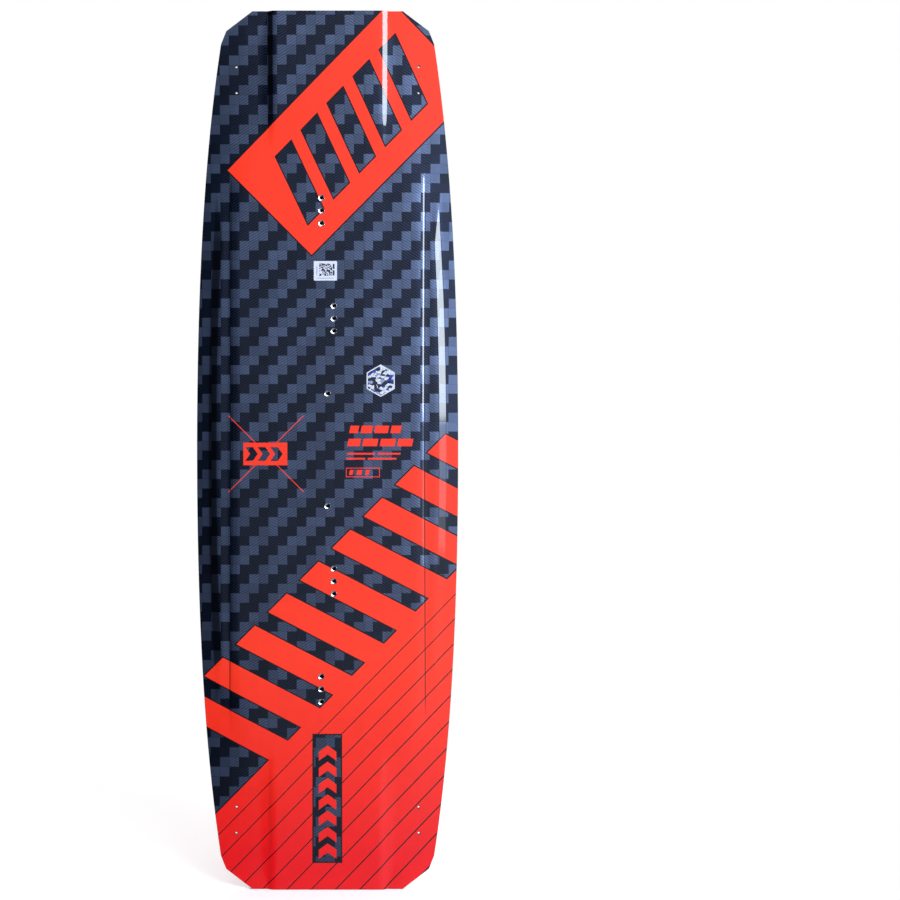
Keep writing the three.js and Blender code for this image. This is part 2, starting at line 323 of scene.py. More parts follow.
def ring_faces(rings, sides):
    """Faces between rings of point numbers, each a full ring or a single point."""
    faces = []
    for one, two in zip(rings, rings[1:]):
        for k in range(sides):
            m = (k + 1) % sides
            corners = [one[k % len(one)], two[k % len(two)], two[m % len(two)], one[m % len(one)]]
            faces.append(list(dict.fromkeys(corners)))
    return faces


def sticker(name, outline, centre, count):
    """A thin film on the deck over an outline of (x, station) points, from its top down."""
    outline, centre = np.array(outline), np.array([centre])
    shares = [k / count for k in range(count + 1)]
    levels = [(share, GLUE + STICKER_DEPTH) for share in shares]
    levels += [(share, GLUE) for share in reversed(shares)]
    points, rings = [], []
    for share, height in levels:
        flat = centre + (outline - centre) * share if share else centre
        depth = deck_surface(flat[:, 0], flat[:, 1]) - height
        rings.append(range(len(points), len(points) + len(flat)))
        points += np.stack([flat[:, 0], depth, flat[:, 1]], axis=1).tolist()
    return mesh_object(name, points, ring_faces(rings, len(outline)))


def rounded_polygon(corners, radius, steps=5, lengths=8):
    """The outline of a polygon with rounded corners, each side cut into short lengths."""
    corners = [Vector(c) for c in corners]
    arcs = []
    for k, corner in enumerate(corners):
        before = (corners[k - 1] - corner).normalized()
        after = (corners[(k + 1) % len(corners)] - corner).normalized()
        half = before.angle(after) / 2
        reach = radius / math.tan(half)
        middle = corner + (before + after).normalized() * radius / math.sin(half)
        start = corner + before * reach - middle
        end = corner + after * reach - middle
        sweep = start.angle_signed(end)
        arcs.append([
            middle + Matrix.Rotation(-sweep * j / steps, 2) @ start for j in range(steps + 1)
        ])
    outline = []
    for k, arc in enumerate(arcs):
        outline += arc
        following = arcs[(k + 1) % len(arcs)][0]
        outline += [arc[-1].lerp(following, j / lengths) for j in range(1, lengths)]
    return [tuple(p) for p in outline]


# ---------------------------------------------------------------- round parts and cuts

def lean_at(x, station):
    """Angle of the deck to the upright at a place, measured over a short reach."""
    reach = 5.0
    rise = deck_surface(x, station + reach) - deck_surface(x, station - reach)
    return -math.atan(float(rise) / (2 * reach))


def deck_frame(x, station, along=0.0):
    """Matrix from a part's own axes, Y into the deck, to the board. Millimetres."""
    place = Matrix.Translation((x, float(deck_surface(x, station)), station))
    return place @ Matrix.Rotation(lean_at(x, station), 4, "X") @ Matrix.Translation((0, 0, along))


def turned(profile, sides, matrix):
    """Points and faces of a profile of (radius, depth) turned about Y, from radius 0 on."""
    points, rings = [], []
    for radius, depth in profile:
        if radius == 0:
            rings.append([len(points)])
            points.append(matrix @ Vector((0, depth, 0)))
            continue
        rings.append(range(len(points), len(points) + sides))
        for k in range(sides):
            angle = 2 * math.pi * k / sides
            local = Vector((radius * math.cos(angle), depth, radius * math.sin(angle)))
            points.append(matrix @ local)
    return [tuple(p) for p in points], ring_faces(rings, sides)


def joined(name, parts):
    """One object of several parts, each its points and faces."""
    points, faces = [], []
    for part_points, part_faces in parts:
        faces += [[i + len(points) for i in f] for f in part_faces]
        points += part_points
    return mesh_object(name, points, faces)


def rod(radius, low, high, matrix, sides=HOLE_SIDES):
    return turned([(0, low), (radius, low), (radius, high), (0, high)], sides, matrix)


def prism_faces(n):
    """Faces of a prism whose points are one end's outline of n points, then the other's."""
    ends = [list(range(n)), list(range(n, 2 * n))]
    return ends + [[k, (k + 1) % n, n + (k + 1) % n, n + k] for k in range(n)]


def cut(piece, tool):
    """Takes the tool's solid out of the piece for good."""
    modifier = piece.modifiers.new("cut", "BOOLEAN")
    modifier.operation = "DIFFERENCE"
    modifier.solver = "EXACT"
    modifier.object = tool
    graph = bpy.context.evaluated_depsgraph_get()
    made = bpy.data.meshes.new_from_object(piece.evaluated_get(graph))
    piece.modifiers.remove(modifier)
    piece.data = made


def dress(piece, slot_name, *nodes):
    """Shading, material, body, slot and CAD nodes of a finished piece."""
    piece.data.materials.clear()
    piece.data.materials.append(materials[slot_name])
    piece.data.polygons.foreach_set("material_index", [0] * len(piece.data.polygons))
    piece.data.shade_smooth()
    piece.data.set_sharp_from_angle(angle=SHARP_ANGLE)
    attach(piece, "root")
    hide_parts(*nodes)


def cad_nodes(start):
    """The CAD nodes whose names begin so."""
    return [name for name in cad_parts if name.startswith(start)]


# ---------------------------------------------------------------- node trees as formulas

def operator(operation, swapped=False):
    def apply(self, other):
        pair = (other, self) if swapped else (self, other)
        return self.tree.math(operation, *pair)
    return apply


class Field:
    """A number over a surface, written as a formula of shader nodes."""

    __add__ = __radd__ = operator("ADD")
    __sub__ = operator("SUBTRACT")
    __rsub__ = operator("SUBTRACT", swapped=True)
    __mul__ = __rmul__ = operator("MULTIPLY")
    __truediv__ = operator("DIVIDE")

    def __init__(self, tree, socket):
        self.tree = tree
        self.socket = socket

    def __neg__(self):
        return self * -1.0

    def __abs__(self):
        return self.tree.math("ABSOLUTE", self)


class Tree:
    """A node tree that is built from formulas."""

    def __init__(self, tree):
        self.nodes = tree.nodes
        self.new = tree.nodes.new
        self.link = tree.links.new

    def feed(self, value, target):
        if isinstance(value, Field):
            self.link(value.socket, target)
        else:
            target.default_value = value

    def axes(self, vector):
        node = self.new("ShaderNodeSeparateXYZ")
        self.link(vector, node.inputs[0])
        return [Field(self, output) for output in node.outputs]

    def math(self, operation, *values, clamp=False):
        node = self.new("ShaderNodeMath")
        node.operation = operation
        node.use_clamp = clamp
        for value, target in zip(values, node.inputs):
            self.feed(value, target)
        return Field(self, node.outputs[0])

    def least(self, *values):
        return reduce(lambda one, other: self.math("MINIMUM", one, other), values)

    def most(self, *values):
        return reduce(lambda one, other: self.math("MAXIMUM", one, other), values)

    def floor(self, value):
        return self.math("FLOOR", value)

    def wrap(self, value, period):
        return self.math("FLOORED_MODULO", value, period)

    def below(self, value, limit):
        return self.math("LESS_THAN", value, limit)

    def inside(self, distance, soft=0.5):
        """1 where the distance is negative, 0 where it is positive, soft millimetres between."""
        return self.math("MULTIPLY_ADD", distance, -1.0 / soft, 0.5, clamp=True)

    def between(self, value, low, high):
        """0 below low, 1 above high."""
        return self.math("DIVIDE", value - low, high - low, clamp=True)

    def mix(self, share, low, high):
        """A colour between two colours."""
        node = self.new("ShaderNodeMix")
        node.data_type = "RGBA"
        self.feed(share, node.inputs[0])
        for value, target in ((low, node.inputs[6]), (high, node.inputs[7])):
            if isinstance(value, tuple):
                target.default_value = (*value, 1.0)
            else:
                self.link(value, target)
        return node.outputs[2]

    def blend(self, share, low, high):
        """A shader between two shader nodes."""
        node = self.new("ShaderNodeMixShader")
        self.feed(share, node.inputs[0])
        self.link(low.outputs[0], node.inputs[1])
        self.link(high.outputs[0], node.inputs[2])
        return node.outputs[0]


class Sheet(Tree):
    """A material. Its x, s (station) and y (depth) are in millimetres."""

    def __init__(self, name):
        self.material = bpy.data.materials.new(name)
        self.material.use_nodes = True
        super().__init__(self.material.node_tree)
        self.shader = self.nodes["Principled BSDF"]
        self.place = self.new("ShaderNodeTexCoord").outputs["Object"]
        x, y, z = self.axes(self.place)
        self.x = x * (1 / MM)
        self.y = y * (1 / MM)
        self.s = z * (1 / MM) - HALF_LENGTH

    def point(self, x, y, z=0.0):
        node = self.new("ShaderNodeCombineXYZ")
        for value, target in zip((x, y, z), node.inputs):
            self.feed(value, target)
        return node.outputs[0]

    def noise(self, where, scale, detail=2.0, roughness=0.5):
        node = self.new("ShaderNodeTexNoise")
        self.link(where, node.inputs["Vector"])
        node.inputs["Scale"].default_value = scale
        node.inputs["Detail"].default_value = detail
        node.inputs["Roughness"].default_value = roughness
        return Field(self, node.outputs[0])

    def chance(self, where):
        """A random number for each place."""
        node = self.new("ShaderNodeTexWhiteNoise")
        node.noise_dimensions = "3D"
        self.link(where, node.inputs["Vector"])
        return Field(self, node.outputs[0])

    def cells(self, where, kind):
        node = self.new("ShaderNodeTexVoronoi")
        node.feature = kind
        self.link(where, node.inputs["Vector"])
        node.inputs["Scale"].default_value = 1.0
        return node

    def cell_tone(self, where):
        """A random number for each of many irregular cells."""
        node = self.new("ShaderNodeSeparateColor")
        self.link(self.cells(where, "F1").outputs["Color"], node.inputs[0])
        return Field(self, node.outputs[0])

    def cell_edge(self, where):
        """Distance to the nearest border between those cells."""
        return Field(self, self.cells(where, "DISTANCE_TO_EDGE").outputs["Distance"])

    def shade(self, colour, factor):
        """A colour times a number."""
        node = self.new("ShaderNodeVectorMath")
        node.operation = "SCALE"
        self.link(colour, node.inputs[0])
        self.feed(factor, node.inputs["Scale"])
        return node.outputs[0]

    def bump(self, height, distance):
        node = self.new("ShaderNodeBump")
        node.inputs["Distance"].default_value = distance * MM
        self.feed(height, node.inputs["Height"])
        self.link(node.outputs[0], self.shader.inputs["Normal"])

    def colour(self, socket):
        self.link(socket, self.shader.inputs["Base Color"])

    def roughness(self, value):
        self.feed(value, self.shader.inputs["Roughness"])

    def metallic(self, value):
        self.feed(value, self.shader.inputs["Metallic"])

    def coat(self, weight, roughness):
        self.shader.inputs["Coat Weight"].default_value = weight
        self.shader.inputs["Coat Roughness"].default_value = roughness
        self.shader.inputs["Coat IOR"].default_value = 1.7

    def wave(self, phase):
        return self.math("SINE", phase) * 0.5 + 0.5

    def hatch(self, x, apexes, period, slope):
        """Fine slanted lines from 0 to 1, in a herringbone that turns at each apex."""
        rise, turn = x, -2.0
        for apex in apexes:
            rise = rise + turn * self.most(x - apex, 0.0)
            turn = -turn
        return self.wave((self.s - slope * rise) * (2 * math.pi / period))

    def box(self, a, b, low, high):
        """Distance to a rectangle between two corners, negative inside."""
        centre_a, centre_b = (low[0] + high[0]) / 2, (low[1] + high[1]) / 2
        half_a, half_b = (high[0] - low[0]) / 2, (high[1] - low[1]) / 2
        return self.most(abs(a - centre_a) - half_a, abs(b - centre_b) - half_b)

    def bars(self, a, b, lean, half, ends, middles):
        """Distance to a row of equal slanted bars along a, between two ends on b."""
        low, high = ends
        slanted = a - b * lean
        row = self.least(*[abs(slanted - middle) - half for middle in middles])
        return self.most(row, abs(b - (low + high) / 2) - (high - low) / 2)

    def stroke(self, a, b, start, end, half):
        """Distance to a straight line with a thickness."""
        length = math.dist(start, end)
        da, db = (end[0] - start[0]) / length, (end[1] - start[1]) / length
        along = (a - start[0]) * da + (b - start[1]) * db
        off = (a - start[0]) * -db + (b - start[1]) * da
        return self.most(abs(off) - half, abs(along - length / 2) - length / 2)

    def thin_lines(self, v, lines):
        """Distance to lines across v, a pitch apart, that widen towards the tail."""
        half = lines.half + self.between(-v, *lines.widening) * lines.growth
        near = self.wrap(v - lines.start + lines.pitch / 2, lines.pitch) - lines.pitch / 2
        return abs(near) - half


def rgb(r, g, b):
    """Linear colour of an sRGB one in 0 to 255."""
    def linear(value):
        c = value / 255
        return c / 12.92 if c <= 0.04045 else ((c + 0.055) / 1.055) ** 2.4
    return (linear(r), linear(g), linear(b))


INK = rgb(14, 12, 18)
ORANGE = rgb(255, 58, 34)
RED = rgb(224, 12, 20)

# Spread tows: their width, and where the first column and row of them begin, as a share of it.
TOW = 15.2
TOW_COLUMN_START = 0.245
TOW_ROW_START = 0.937

# The x at which the herringbone of fine lines turns, on each side of the board.
DECK_APEXES = (-97.4, -78.1, 31.0)
BASE_APEXES = (-125.6, -116.0, -89.5, -70.6, 23.5)
HATCH_SLOPE = 0.62

# Print. A box is its low and its high corner. Slanted shapes use u, which runs along the slant, up
# to the right, and v, which runs across it, up to the left.
# A bar row has equal slanted bars: middle is its v, start the first bar's u, half a bar's half
# width, ends are the bars' ends from the middle, and lean is how far they lean. An arrow row has
# equal arrow heads: start is the first one's tip. Lines start at a v and lie a pitch apart, and
# their half width grows over a stretch of -v.
ROOT_HALF = math.sqrt(0.5)
BarRow = namedtuple("BarRow", "middle start pitch count half ends lean")
ArrowRow = namedtuple("ArrowRow", "middle start pitch count half_height half_width")
Lines = namedtuple("Lines", "start pitch half growth widening")
DECK_PANEL = ((201, 237), (570, 428))
DECK_MOTIF = BarRow(middle=332, start=269, pitch=58, count=5, half=18, ends=(-56, 56), lean=0.35)
DECK_BAND = BarRow(middle=-195, start=-420, pitch=72, count=9, half=22, ends=(-90, 80), lean=-0.32)
DECK_FIELD_TOP = -281
DECK_LINES = Lines(start=-308, pitch=26.9, half=0.65, growth=0.55, widening=(300, 760))
DECK_OUTLINE_HALF = 1.1
PLATE = ((-23, -648), (22, -452))
PLATE_ARROWS = ArrowRow(middle=0, start=-626, pitch=25, count=7, half_height=14, half_width=7)
SMALL_PANEL = ((-135, -24.5), (-64.5, 11.7))
SMALL_ARROWS = ArrowRow(middle=-6.4, start=-118, pitch=20, count=3, half_height=11, half_width=6)
CROSS_LINES = (
    ((-115.7, 11.7), (-159, 55)), ((-81.8, 11.7), (-38.5, 55)),
    ((-116, -24.5), (-159, -67.5)), ((-81, -24.5), (-38.5, -67)),
)
CROSS_HALF = 0.65
SMALL_FRAME = ((30, -43), (83, -29))
SMALL_FRAME_HALF = 0.6

# Rows of short bars on the deck: ends of the row, then each bar's middle and half width.
SHORT_BAR_LEAN = 0.2
SHORT_BARS = (
    ((27, 39), ((36, 7), (56, 9), (80, 11), (103, 8))),
    ((6, 18), ((40, 10), (66, 12), (94, 12), (122, 12))),
    ((-7.5, -4.5), ((55, 22), (100, 18))),
    ((-15.5, -12.5), ((48, 15), (90, 23))),
    ((-40, -32), ((45, 3), (58, 4), (71, 3))),
)

BASE_PANEL = ((102, 104.5), (500, 315))
BASE_MOTIF = BarRow(middle=210, start=180, pitch=60, count=5, half=20, ends=(-60, 60), lean=0.35)
BASE_UPPER = BarRow(middle=-125, start=-366, pitch=78, count=8, half=22, ends=(-62, 62), lean=0.3)
BASE_LOWER = BarRow(middle=-275, start=-455, pitch=78, count=4, half=22, ends=(-60, 60), lean=0.3)
BASE_FIELD_TOP = 23
BASE_LINES = Lines(start=23, pitch=26.6, half=0.6, growth=1.0, widening=(0, 700))
BASE_OUTLINE_HALF = 0.75
BAR_OUTLINE_HALF = 0.6

# Painted shade on the relief: a dark line at the foot of the middle step.
STEP_SHADOW_X = MID_STEP["outer"] + 1.4
STEP_SHADOW_HALF = 0.8
STEP_SHADOW_FADE = (395, 425)
# Painted shade on the tip step ramps.
TIP_SHADE_X = 90.2
TIP_SHADE_HALF = 3.9
TIP_SHADE_FADE = (480, 540)


def evenly(start, pitch, count):
    return [start + pitch * k for k in range(count)]


def bar_row(t, u, v, row):
    middles = evenly(row.start, row.pitch, row.count)
    return t.bars(u, v - row.middle, row.lean, row.half, row.ends, middles)


def arrow_row(t, a, b, row):
    """Distance to arrow heads along a."""
    across = abs(b - row.middle)
    bent = a + across * 0.7
    tips = evenly(row.start, row.pitch, row.count)
    heads = t.least(*[abs(bent - tip) - row.half_width for tip in tips])
    return t.most(heads, across - row.half_height)


def small_marks(t):
    """Distance to the deck's small print: arrows, a little panel, crossed lines, short bars."""
    on_plate = arrow_row(t, t.s, t.x, PLATE_ARROWS)
    panel = t.most(t.box(t.x, t.s, *SMALL_PANEL), -arrow_row(t, t.x, t.s, SMALL_ARROWS))
    cross = [t.stroke(t.x, t.s, start, end, CROSS_HALF) for start, end in CROSS_LINES]
    short = [
        t.bars(t.x, t.s, SHORT_BAR_LEAN, half, ends, [middle])
        for ends, row in SHORT_BARS for middle, half in row
    ]
    box_line = abs(t.box(t.x, t.s, *SMALL_FRAME)) - SMALL_FRAME_HALF
    return t.least(on_plate, panel, *cross, *short, box_line)


def deck_graphics(t):
    """Distances of the deck's print: what has an outline, all the orange, lower field and plate."""
    u = (t.x + t.s) * ROOT_HALF
    v = (t.s - t.x) * ROOT_HALF
    panel = t.most(t.box(u, v, *DECK_PANEL), -bar_row(t, u, v, DECK_MOTIF))
    field = v - DECK_FIELD_TOP
    plate = t.box(t.x, t.s, *PLATE)
    outlined = t.least(panel, bar_row(t, u, v, DECK_BAND), t.most(field, -plate))
    return outlined, t.least(outlined, small_marks(t)), field, plate, v


def base_graphics(t, x):
    """Distances of the base's print: panel, lower field and the bars in it. x is mirrored."""
    u = (x + t.s) * ROOT_HALF
    v = (t.s - x) * ROOT_HALF
    panel = t.most(t.box(u, v, *BASE_PANEL), -bar_row(t, u, v, BASE_MOTIF))
    marks = t.least(bar_row(t, u, v, BASE_UPPER), bar_row(t, u, v, BASE_LOWER))
    return panel, v - BASE_FIELD_TOP, marks, v


def tow_place(t):
    return t.x / TOW + TOW_COLUMN_START, -t.s / TOW + TOW_ROW_START


def print_colour(t, start, end):
    """Orange that turns red towards the tail, with a faint trace of the tows under it."""
    across, down = tow_place(t)
    cloud = t.noise(t.place, 9.0, 3.0)
    base = t.mix(t.between(-t.s, start, end), ORANGE, RED)
    tone = t.chance(t.point(t.floor(across), t.floor(down), 2.0))
    return t.shade(base, 0.84 + cloud * 0.08 + tone * 0.04)


def painted_step_shadow(t):
    """1 on the painted shadow line at the foot of the middle step, 0 elsewhere."""
    line = t.inside(abs(abs(t.x) - STEP_SHADOW_X) - STEP_SHADOW_HALF, 0.6)
    return line * (1 - t.between(abs(t.s), *STEP_SHADOW_FADE))


def relief_shadow(t):
    """How much of the carbon's colour painted shade on the tip step ramps and the facet leaves."""
    tip_shade = t.inside(abs(abs(t.x) - TIP_SHADE_X) - TIP_SHADE_HALF, 1.6)
    tip_shade = tip_shade * t.between(abs(t.s), *TIP_SHADE_FADE)
    squared = t.s * t.s
    outline = HALF_WIDTH - squared * (SIDE_CURVE + squared * SIDE_TAPER)
    facet = outline - abs(t.x) - (RIM_WIDTH + FACET_WIDTH / 2)
    facet = t.inside(abs(facet) - FACET_WIDTH / 2, 1.5)
    facet = facet * (1 - t.between(abs(t.s), FACET_FULL, FACET_END))
    # Painted shade: darker by 82 % on the tip step ramps and by 62 % on the facet.
    return (1 - tip_shade * 0.82) * (1 - facet * 0.62)


def tow_gap(t, count):
    """1 in the gap between two tows, from a place counted in tows."""
    return t.inside(abs(t.wrap(count + 0.5, 1.0) - 0.5) * TOW - 0.5, 0.6)


def print_over_carbon(t, carbon, orange, ink, fade, rough_carbon, rough_print, relief):
    """Orange where its distance is negative, black ink and bare carbon, all under a clear coat."""
    colour = t.mix(t.inside(orange), carbon, print_colour(t, *fade))
    colour = t.mix(ink, colour, INK)
    # Painted shadow: the colour is darkened by 80 % along the foot of the middle step.
    t.colour(t.shade(colour, 1 - painted_step_shadow(t) * 0.8))
    printed = t.most(t.inside(orange), ink)
    bare = 1 - printed
    smear = t.noise(t.place, 40.0, 4.0)
    t.metallic(bare * 0.96)
    t.roughness((rough_carbon + smear * 0.08) * bare + (rough_print + smear * 0.1) * printed)
    t.shader.inputs["Specular IOR Level"].default_value = 0.05
    t.coat(1.0, 0.06)
    t.bump(relief * bare + smear * 0.2 + printed * 0.6, 0.05)
    return t.material


def deck_carbon(t):
    """Spread tows in a stepped check, each a little different, with fine slanted lines."""
    light_tow, dark_tow = rgb(94, 109, 142), rgb(25, 36, 58)
    across, down = tow_place(t)
    column, row = t.floor(across), t.floor(down)
    dark = t.below(t.wrap(column + row, 4.0), 2.0)
    tone = t.chance(t.point(column, row))
    tow = t.chance(t.point(t.floor(t.x / (TOW * 2)), 3.0))
    hatch = t.hatch(t.x, DECK_APEXES, 4.4, HATCH_SLOPE)
    gap = t.most(tow_gap(t, across), tow_gap(t, down))
    fibre = t.noise(t.point(t.x * 0.05, t.s * 0.9), 1.0, 3.0)

    # Towards the edge the lines fade, and they do so sooner at the tips.
    edge_start = 177 - t.between(abs(t.s), 380, 640) * 48
    plain = t.between(abs(t.x) - edge_start, -1.5, 1.5)
    lines = (0.62 + hatch * 0.62) * (1 - dark) + (0.25 + hatch * 1.45) * dark
    bright = lines * (1 - plain) + plain * 0.85
    bright = bright * (0.80 + tone * 0.34) * (0.88 + tow * 0.24)
    bright = bright * (0.9 + fibre * 0.2) * (1 - gap * 0.25)
    carbon = t.mix(dark, light_tow, dark_tow)
    # Painted shade: the tows are darkened on the tip step ramps and on the facet.
    carbon = t.shade(carbon, bright * relief_shadow(t))
    return carbon, dark, hatch * 0.5 + gap * -0.6 + fibre * 0.3


def deck_print():
    t = Sheet("deck_print")
    outlined, orange, field, plate, v = deck_graphics(t)
    carbon, dark, relief = deck_carbon(t)
    lines = t.most(t.thin_lines(v, DECK_LINES), field + 20, -plate)
    ink = t.inside(t.least(lines, abs(outlined) - DECK_OUTLINE_HALF))
    rough_carbon = 0.38 + dark * 0.04
    return print_over_carbon(t, carbon, orange, ink, (330, 640), rough_carbon, 0.45, relief)


def base_carbon(t, x):
    """Long upright tows with staggered ends and fine herringbone lines."""
    dark_tow, light_tow = rgb(32, 41, 66), rgb(104, 126, 170)
    tow_width, tow_length, stagger = 17.0, 210, 4
    column = t.floor(x / tow_width)
    row = t.floor(t.s / tow_length + t.chance(t.point(column, 5.0)) * stagger)
    tow = t.chance(t.point(column, row, 1.0))
    bands = t.noise(t.point(x * 0.03, t.s * 0.0006), 1.0, 2.0)
    hatch = t.hatch(x, BASE_APEXES, 4.6, HATCH_SLOPE)
    fibre = t.noise(t.point(x * 0.6, t.s * 0.08), 1.0, 3.0)
    tone = t.between(bands, 0.34, 0.70) * 0.35 + tow * 0.45
    bright = (0.30 + hatch * 1.05) * (0.85 + fibre * 0.3)
    carbon = t.shade(t.mix(tone, dark_tow, light_tow), bright)
    return carbon, hatch * 0.5 + fibre * 0.3


def base_print():
    t = Sheet("base_print")
    x = -t.x
    panel, field, marks, v = base_graphics(t, x)
    carbon, relief = base_carbon(t, x)
    orange = t.least(panel, t.most(field, -marks))
    shapes = t.least(panel, field)
    lines = t.most(t.thin_lines(v, BASE_LINES), shapes)
    bar_edge = t.most(abs(marks) - BAR_OUTLINE_HALF, field)
    ink = t.inside(t.least(lines, abs(shapes) - BASE_OUTLINE_HALF, bar_edge))
    return print_over_carbon(t, carbon, orange, ink, (-100, 640), 0.34, 0.36, relief)


def carbon_ply():
    t = Sheet("carbon_ply")
    dark, light = rgb(14, 16, 22), rgb(60, 66, 84)
    hatch = t.hatch(t.x, DECK_APEXES, 5.1, 0.55)
    fibre = t.noise(t.place, 900.0, 3.0)
    t.colour(t.mix(hatch * 0.6 + fibre * 0.4, dark, light))
    t.metallic(0.5)
    t.roughness(0.4 + fibre * 0.15)
    t.bump(hatch * 0.5 + fibre * 0.5, 0.05)
    return t.material


def glass_ply():
    t = Sheet("glass_ply")
    resin, strand = rgb(176, 186, 150), rgb(222, 226, 204)
    turns = 4.2
    weave = t.math("SINE", t.x * turns) * t.math("SINE", t.s * turns) * 0.5 + 0.5
    cloud = t.noise(t.place, 60.0, 3.0)
    t.colour(t.mix(weave * 0.6 + cloud * 0.4, resin, strand))
    t.roughness(0.4 + weave * 0.2)
    t.bump(weave, 0.05)
    return t.material


def wood():
    """Light strips glued side by side, each with its own tint and rings."""
    t = Sheet("wood")
    early, late = rgb(196, 160, 112), rgb(158, 116, 72)
    strip_width = 21.0
    strip = t.floor(t.x / strip_width)
    tint = t.chance(t.point(strip, 7.0))
    wander = t.noise(t.place, 6.0, 2.0) * 14.0
    rings = t.wave((t.x + wander) * 1.3 + strip * 2.0)
    pores = t.noise(t.point(t.x * 1.2, t.s * 0.02, t.y * 1.2), 1.0, 4.0)
    grain = rings * 0.5 + pores * 0.5
    t.colour(t.shade(t.mix(grain, early, late), 0.85 + tint * 0.3))
    t.roughness(0.6 + pores * 0.2)
    t.bump(grain, 0.1)
    return t.material


def rail_plastic():
    t = Sheet("rail")
    clean, scratched = rgb(17, 18, 22), rgb(58, 60, 68)
    grain = t.noise(t.place, 700.0, 4.0)
    scuff = t.noise(t.point(t.x * 0.5, t.s * 0.03, t.y * 3.0), 1.0, 5.0, 0.7)
    worn = t.between(scuff, 0.56, 0.78)
    t.colour(t.mix(worn * 0.6 + grain * 0.15, clean, scratched))
    t.roughness(0.38 + grain * 0.2 + worn * 0.15)
    t.bump(grain * 0.6 + scuff * 0.4, 0.06)
    return t.material


def steel():
    t = Sheet("steel")
    marks = t.noise(t.point(t.x * 0.8, t.s * 6.0, t.y * 2.0), 1.0, 4.0)
    stain = t.noise(t.place, 300.0, 3.0)
    t.colour(t.mix(stain, rgb(206, 208, 214), rgb(240, 240, 244)))
    t.metallic(1.0)
    t.roughness(0.14 + marks * 0.12)
    t.bump(marks, 0.02)
    return t.material


def grained(name, detail, dark, light, roughness, spread, depth):
    """A sheet whose colour, roughness and relief all follow one fine grain."""
    t = Sheet(name)
    grain = t.noise(t.place, 500.0, detail)
    t.colour(t.mix(grain, dark, light))
    t.roughness(roughness + grain * spread)
    t.bump(grain, depth)
    return t


def shaded_bore_steel():
    """The threaded inside of an insert, painted dark: painted shade in the hole."""
    t = grained("bore", 3.0, rgb(10, 10, 14), rgb(30, 31, 38), 0.55, 0.25, 0.02)
    t.metallic(0.3)
    return t.material


def plug_plastic():
    return grained("plug", 4.0, rgb(22, 24, 30), rgb(52, 54, 62), 0.45, 0.2, 0.05).material


def label_paper():
    """White paper with a block of random small cells and a few plain bars."""
    t = Sheet("label")
    paper_low, paper_high, ink = rgb(196, 204, 224), rgb(212, 219, 238), rgb(40, 42, 60)
    cell_size = 1.55
    x, s = t.x - LABEL["x"], t.s - LABEL["station"]
    cell = t.chance(t.point(t.floor(x / cell_size), t.floor(s / cell_size), 5.0))
    dots = t.most(t.box(x, s, (-10.0, -8.0), (10.8, 11.6)), cell * 4.0 - 2.1)
    bars = t.least(
        t.box(x, s, (-14.0, -11.9), (13.0, -11.3)),
        t.box(x, s, (-14.0, -7.0), (-13.2, 8.0)),
        t.box(x, s, (11.6, 3.0), (14.6, 11.0)),
        t.box(x, s, (11.6, -7.5), (14.6, 1.0)),
    )
    fibres = t.noise(t.place, 900.0, 3.0)
    paper = t.mix(fibres, paper_low, paper_high)
    t.colour(t.mix(t.inside(t.least(dots, bars), 0.3), paper, ink))
    t.roughness(0.3 + fibres * 0.15)
    t.coat(0.5, 0.1)
    t.bump(fibres, 0.02)
    return t.material


def badge_foil():
    """Six-sided foil with a pale rim and irregular facets of a few tones."""
    t = Sheet("badge")
    facets = (
        (0.24, 0.28, rgb(150, 166, 206)), (0.36, 0.40, rgb(230, 237, 252)),
        (0.90, 0.94, rgb(44, 70, 190)),
    )
    x, s = t.x - BADGE["x"], t.s - BADGE["station"]
    slant = math.cos(math.pi / 6)
    hexagon = t.most(abs(x), abs(x * 0.5 + s * slant), abs(x * 0.5 - s * slant))
    rim_width = 1.8
    rim = t.inside(BADGE["radius"] * slant - rim_width - hexagon, 0.4)
    where = t.point(x * 0.16 + s * 0.05, s * 0.24 - x * 0.06, 2.0)
    tone = t.cell_tone(where)
    lines = t.inside(t.cell_edge(where) - 0.025, 0.03)
    face = rgb(34, 42, 70)
    for low, high, colour in facets:
        face = t.mix(t.between(tone, low, high), face, colour)
    face = t.mix(lines, face, rgb(60, 68, 96))
    t.colour(t.mix(rim, face, rgb(232, 238, 250)))
    t.metallic(0.35)
    fine = t.noise(t.place, 700.0, 3.0)
    t.roughness(0.22 + fine * 0.12)
    t.coat(0.6, 0.06)
    t.bump(fine * 0.3 + lines * -0.7 + rim * 0.5, 0.04)
    return t.material


# ---------------------------------------------------------------- pieces

materials = {
    "deck_print": deck_print(), "base_print": base_print(), "carbon": carbon_ply(),
    "glass_ply": glass_ply(), "wood": wood(), "rail": rail_plastic(), "steel": steel(),
    "bore": shaded_bore_steel(), "plug": plug_plastic(), "label": label_paper(), "badge": badge_foil(),
}


def insert_list():
    """Name, x and station of every threaded insert."""
    made = []
    for end, sign in (("nose", 1), ("tail", -1)):
        for group, (x, station) in (("outer", OUTER_GROUP), ("inner", INNER_GROUP)):
            for k in (1, 2, 3):
                name = f"{end}_{group}_insert_{k}"
                made.append((name, x, sign * station + (2 - k) * INSERT_PITCH))
        made.append((f"{end}_handle_insert", 0.0, sign * HANDLE_STATION))
    return made


def plug_list():
    """Name, x and station of every fin plug."""
    return [
        (f"{end}_{side}_fin_plug", way * FIN_X, sign * FIN_STATION)
        for end, sign in (("nose", 1), ("tail", -1))
        for side, way in (("left", -1), ("right", 1))
    ]


